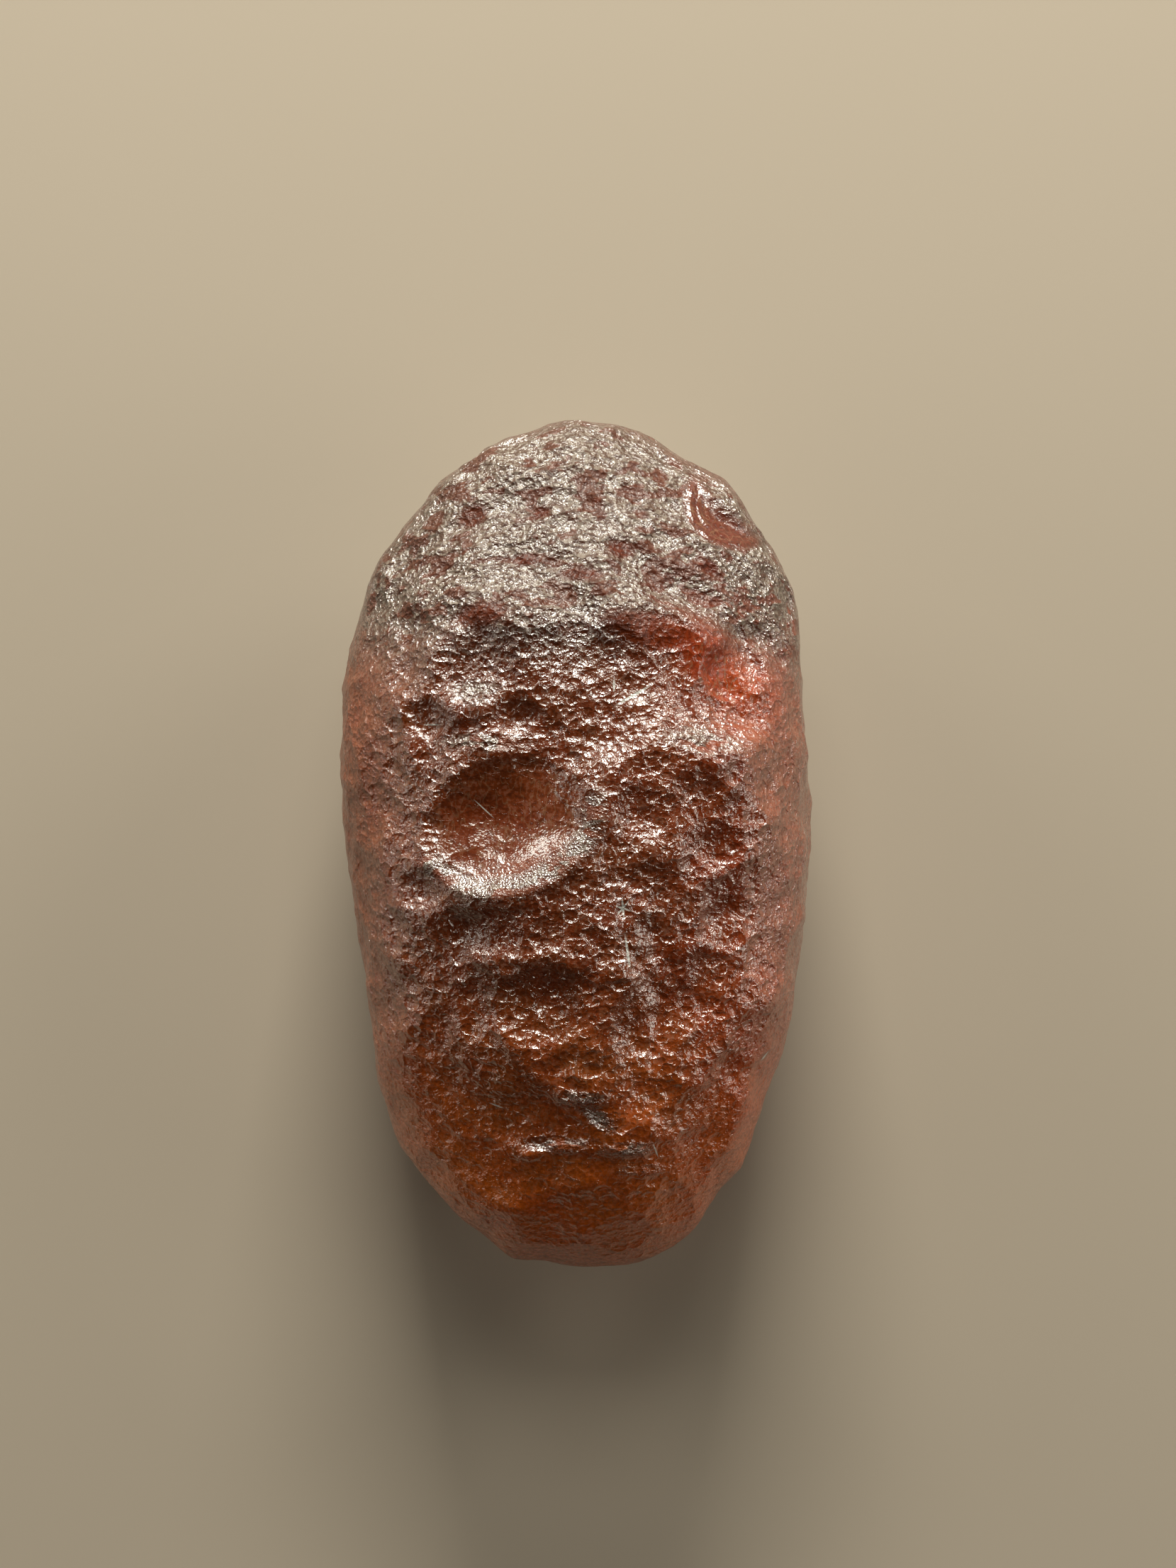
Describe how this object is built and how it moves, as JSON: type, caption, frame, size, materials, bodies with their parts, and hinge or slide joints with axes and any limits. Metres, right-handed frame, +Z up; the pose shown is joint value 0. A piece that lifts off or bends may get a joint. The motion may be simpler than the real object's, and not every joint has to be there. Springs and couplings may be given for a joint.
{
  "type": "colombianite pebble",
  "caption": "Loose oval pebble of dark, translucent, red-brown natural glass with a frosted, pitted skin, a thumbprint hollow and ledges, lying on a small flat spot.",
  "frame": {"origin": "on the surface that the pebble rests on, below the middle of its length and width", "axes": "+Y along the pebble's length, towards its frosted end; +X across its width; +Z up, out of its broad front"},
  "size_m": [0.0214, 0.0381, 0.0156],
  "materials": {
    "glass": "frosted and finely pitted, translucent red-brown"
  },
  "bodies": {
    "root": {"stone": "glass"}
  },
  "joints": []
}
